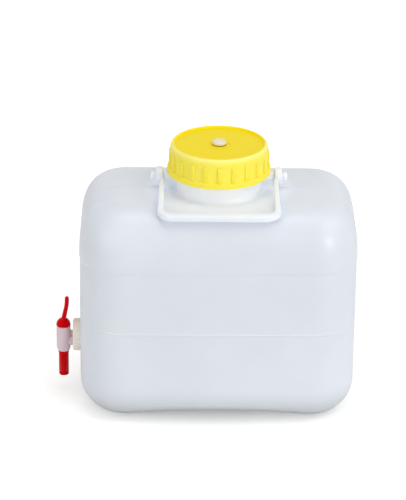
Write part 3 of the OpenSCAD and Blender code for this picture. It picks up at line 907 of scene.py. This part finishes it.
bar = draw("handle", [*ring(0), ring(0)[0]])
tidy()
bpy.ops.mesh.edge_face_add()
stations = [i / 10 for i in range(1, 11)] + [1 + i / 12 for i in range(1, 13)]
for along in stations:
    bpy.ops.mesh.extrude_region_move(TRANSFORM_OT_translate={"value": (0, 0, 0)})
    bpy.ops.object.mode_set(mode="OBJECT")
    moved = [v for v in bar.data.vertices if v.select]
    for point, place in zip(moved, ring(along)):
        point.co = place * MM
    bpy.ops.object.mode_set(mode="EDIT")
bpy.ops.mesh.extrude_region_move(TRANSFORM_OT_translate={"value": (-(arm_in - BEND_R) * MM, 0, 0)})
bpy.ops.mesh.delete(type="ONLY_FACE")
tidy()
bpy.ops.object.mode_set(mode="OBJECT")
modify(bar, "MIRROR", use_axis=(True, False, False), merge_threshold=0.01 * MM)
use(bar)
bpy.ops.object.mode_set(mode="EDIT")
tidy()
bpy.ops.object.mode_set(mode="OBJECT")
print("the bar has", len(bar.data.polygons), "faces")

# %% Turn the eyes and melt them in
TILT = math.radians(10.5)
eye_line = [(3.57, eye_in + 0.3), (3.9, eye_in), (EYE_R - 0.8, eye_in), (EYE_R - 0.2, eye_in + 0.2),
            (EYE_R, eye_in + 0.8), (EYE_R, eye_out - 1.2), (EYE_R - 0.35, eye_out - 0.35),
            (EYE_R - 1.2, eye_out), (3.9, eye_out), (3.57, eye_out - 0.3)]
for side in (1, -1):
    eye = turn("eye", [(r, side * h) for r, h in eye_line], (0, 0, 0), axis="X", steps=64, closed=True)
    carve(bar, eye, "UNION")
use(bar)
bpy.ops.object.mode_set(mode="EDIT")
tidy()
bpy.ops.transform.rotate(value=-TILT, orient_axis="X", center_override=(0, 0, 0))
bpy.ops.transform.translate(value=Vector((neck_x, 0, pivot_z)) * MM)
bpy.ops.object.mode_set(mode="OBJECT")
finish(bar, "handle", white, "white_plastic", "carry_handle", angle=50)
reach = [min(v.co.y for v in bar.data.vertices) / MM, low("carry_handle").y]
print("the grip reaches to y", [round(r, 1) for r in reach], "in the piece and in the solid")

# %% [markdown]
# ## The union nut
#
# The nut clamps the tap's flange on the outlet. It is a turned ring with a lip that holds
# the flange, and fine ribs round it for the fingers, again modelled once and copied.

# %% Turn the nut
nut_back = high("outlet_nut").x
nut_front = low("outlet_nut").x
nut_r = 16.5
nut_line = [(14.3, nut_back), (nut_r - 0.4, nut_back), (nut_r, nut_back - 0.5), (nut_r, nut_front + 1),
            (nut_r - 0.4, nut_front + 0.3), (nut_r - 1, nut_front), (13.4, nut_front),
            (13.1, nut_front + 0.3), (13.1, nut_front + 2.1), (14.3, nut_front + 2.1)]
nut = turn("nut", nut_line, (0, 0, outlet_z), axis="X", steps=96, closed=True)
NUT_RIBS = 24
grips = []
for i in range(NUT_RIBS):
    bpy.ops.object.select_all(action="DESELECT")
    bpy.ops.mesh.primitive_cube_add(size=MM, scale=(abs(nut_front - nut_back) - 1.8, 2, 1.8))
    grip = bpy.context.object
    bpy.ops.object.transform_apply(scale=True)
    soften(grip, 0.35, 2)
    use(grip)
    bpy.ops.object.mode_set(mode="EDIT")
    bpy.ops.mesh.select_all(action="SELECT")
    bpy.ops.transform.translate(value=Vector(((nut_front + nut_back) / 2 - 0.1, 0, nut_r - 0.1)) * MM)
    bpy.ops.transform.rotate(value=math.tau * i / NUT_RIBS, orient_axis="X", center_override=(0, 0, 0))
    bpy.ops.transform.translate(value=(0, 0, outlet_z * MM))
    bpy.ops.object.mode_set(mode="OBJECT")
    grips.append(grip)
join(nut, *grips)
finish(nut, "tank", ivory, "ivory_plastic", "outlet_nut")

# %% [markdown]
# ## The tap's barrel
#
# The barrel is an upright sleeve with a lying inlet pipe, a round flange behind the nut
# and a small rib over the pipe. The sleeve tapers at its lower end. They are moulded in
# one, so all four are melted together before the two bores are cut.

# %% Turn the barrel, its pipe and its flange
inlet_z = outlet_z - 7.2
barrel_top = inlet_z + 17.6
barrel_foot = inlet_z - 11.2
flange_back = high("tap_barrel").x
BARREL_R = 7.5
PIPE_R = 5.1
WEB_T = 2.4
WEB_H = 12.1
WEB_START = 6.5
barrel = turn("barrel", [
    (0, barrel_foot), (BARREL_R - 1.6, barrel_foot), (BARREL_R - 1.2, barrel_foot + 0.4),
    (BARREL_R - 0.3, barrel_foot + 2.6), (BARREL_R, barrel_foot + 4.4), (BARREL_R, barrel_top - 0.7),
    (BARREL_R - 0.2, barrel_top - 0.2), (BARREL_R - 0.7, barrel_top), (0, barrel_top),
], (tap_x, 0, 0), steps=64)
pipe = turn("pipe", [(0, tap_x), (PIPE_R, tap_x), (PIPE_R, flange_back - 2.8),
                     (PIPE_R + 0.8, flange_back - 2), (PIPE_R + 0.8, flange_back - 1),
                     (0, flange_back - 1)], (0, 0, inlet_z), axis="X", steps=64)
flange = turn("flange", [(0, flange_back - 2), (13.9, flange_back - 2), (14.1, flange_back - 1.8),
                         (14.1, flange_back - 0.2), (13.9, flange_back), (0, flange_back)],
              (0, 0, outlet_z), axis="X", steps=64)
bpy.ops.object.select_all(action="DESELECT")
web_l = flange_back - 1 - tap_x - WEB_START
web_middle = Vector((tap_x + WEB_START + web_l / 2, 0, inlet_z + WEB_H / 2))
bpy.ops.mesh.primitive_cube_add(size=MM, scale=(web_l, WEB_T, WEB_H), location=web_middle * MM)
web = bpy.context.object
bpy.ops.object.transform_apply(scale=True)
soften(web, 0.4, 2)
for part in (pipe, flange, web):
    carve(barrel, part, "UNION")

# %% Cut its two bores
SLEEVE_R = 5.62
SLEEVE_MOUTH_R = 6.4
PORT_R = 3.1
sleeve_bore = turn("sleeve bore", [
    (0, barrel_foot - 1), (SLEEVE_MOUTH_R, barrel_foot - 1), (SLEEVE_R, barrel_foot + 0.3),
    (SLEEVE_R, barrel_top - 0.3), (SLEEVE_MOUTH_R, barrel_top + 1), (0, barrel_top + 1)],
    (tap_x, 0, 0), steps=64)
port = turn("port", [(0, tap_x), (PORT_R, tap_x), (PORT_R, flange_back + 1), (0, flange_back + 1)],
            (0, 0, inlet_z), axis="X", steps=48)
for tool in (sleeve_bore, port):
    carve(barrel, tool)
finish(barrel, "tank", rose, "milky_plastic", "tap_barrel")

# %% [markdown]
# ## The turning plug
#
# The red plug turns in the barrel. Its dome and lever show above, its spout below. The
# round parts are one turned outline. The lever is a blade that is extruded from the dome
# in steps, leaning a little towards the tank and standing up again near its tip.

# %% Turn the plug
PLUG_R = 5.55
GROOVE_R = 4.23
GROOVE_HALF = 0.67
SPOUT_R = 5.3
DOME_R = 7.7
DOME_H = 8.8
dome_z = barrel_top + 0.3
spout_end = low("tap_plug").z
bead = barrel_foot - 0.3
grooves = []
for ring_z in (middle("plug_ring_lower").z, middle("plug_ring_upper").z):
    under, over = ring_z - GROOVE_HALF, ring_z + GROOVE_HALF
    grooves += [(PLUG_R, under), (GROOVE_R, under), (GROOVE_R, over), (PLUG_R, over)]
plug = turn("plug", [
    (0, inlet_z + 3.1), (3.4, inlet_z + 3.1), (3.4, spout_end + 0.3), (3.7, spout_end),
    (SPOUT_R - 1.1, spout_end), (SPOUT_R - 0.3, spout_end + 0.4), (SPOUT_R - 0.05, spout_end + 1.2),
    (SPOUT_R - 0.05, spout_end + 3.4), (SPOUT_R - 0.25, spout_end + 3.6), (SPOUT_R - 0.25, spout_end + 3.9),
    (SPOUT_R, spout_end + 4.2), (SPOUT_R, bead - 2.6), (PLUG_R + 0.4, bead - 0.6), (PLUG_R + 0.4, bead),
    (PLUG_R, bead), *grooves, (PLUG_R, dome_z), (DOME_R - 0.4, dome_z), (DOME_R, dome_z + 0.5),
    *[(DOME_R * math.cos(math.radians(a)), dome_z + 0.5 + (DOME_H - 0.5) * math.sin(math.radians(a)))
      for a in range(8, 90, 8)],
    (0, dome_z + DOME_H),
], (tap_x, 0, 0), steps=64)

# %% Extrude the lever
LEVER_W = 11
LEVER_T = 5.4
LEVER_TAPER = 0.9
LEVER_LEAN = 3.9
lever_top = high("tap_plug").z
lever_foot = dome_z + 2
rise = lever_top - lever_foot


def blade(share):
    """The lever's outline at a share of its height."""
    lean = LEVER_LEAN * (0.5 - 0.5 * math.cos(math.pi * min(1, share * 1.15)))
    thick = LEVER_T - LEVER_TAPER * share
    wide = LEVER_W
    left = rise * (1 - share)
    if left < thick / 2:
        thick *= math.sqrt(max(0.02, 1 - (1 - left / (thick / 2)) ** 2))
    if left < wide / 2:
        wide *= math.sqrt(max(0.02, 1 - (1 - left / (wide / 2)) ** 2))
    return [Vector((tap_x + lean + thick / 2 * math.copysign(abs(math.cos(a)) ** 0.7, math.cos(a)),
                    wide / 2 * math.copysign(abs(math.sin(a)) ** 0.7, math.sin(a)),
                    lever_foot + rise * share))
            for a in [math.tau * (i + 0.5) / 24 for i in range(24)]]


lever = draw("lever", [*blade(0), blade(0)[0]])
tidy()
bpy.ops.mesh.edge_face_add()
heights = [i / 16 for i in range(1, 14)] + [0.84, 0.88, 0.91, 0.94, 0.96, 0.975, 0.987, 0.995, 1]
for share in heights:
    bpy.ops.mesh.extrude_region_move(TRANSFORM_OT_translate={"value": (0, 0, 0)})
    bpy.ops.object.mode_set(mode="OBJECT")
    moved = [v for v in lever.data.vertices if v.select]
    for point, place in zip(moved, blade(share)):
        point.co = place * MM
    bpy.ops.object.mode_set(mode="EDIT")
tidy()
bpy.ops.object.mode_set(mode="OBJECT")
join(plug, lever)
finish(plug, "tap", red, "red_plastic", "tap_plug", angle=45)

# %% [markdown]
# ## The seals
#
# The cap's foam ring, the rubber washers and the two rings on the plug are seen only when
# the canister is opened. Their solids already have the right shape, so they keep it and
# get a finish: an open-celled foam and a dull black rubber.

# %% Finish the seals
foam = Finish("foam seal", Roughness=0.85)
cells = foam.noise(2600, 4, 0.7)
foam.set(foam.shader, {
    "Base Color": foam.blend(cells.ramp(0.3, 0.7), colour(226, 224, 216), colour(244, 243, 238)),
    "Normal": foam.raise_surface(cells, 0.25 * MM),
})
rubber = Finish("black rubber", Roughness=0.6)
specks = rubber.noise(1800, 3, 0.6)
rubber.set(rubber.shader, {
    "Base Color": rubber.blend(specks.ramp(0.3, 0.7), colour(28, 28, 29), colour(44, 44, 45)),
    "Roughness": 0.5 + 0.2 * specks,
    "Normal": rubber.raise_surface(specks, 0.06 * MM),
})
for name, made in [("cap_seal", foam), ("vent_washer", rubber), ("outlet_seal", rubber),
                   ("plug_ring_upper", rubber), ("plug_ring_lower", rubber)]:
    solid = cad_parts[name]
    solid.data.materials.clear()
    solid.data.materials.append(made.material)
print("seals finished")

# %% [markdown]
# ## Measure and finish
#
# The dressed object should not outgrow its solids, so both boxes are measured and
# printed. The dressed object may not outgrow its solids.

# %% Print both boxes
seen_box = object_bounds()
for name, box in (("solids", cad_box), ("scene", seen_box)):
    print(name, [[round(v / MM, 2) for v in corner] for corner in box])
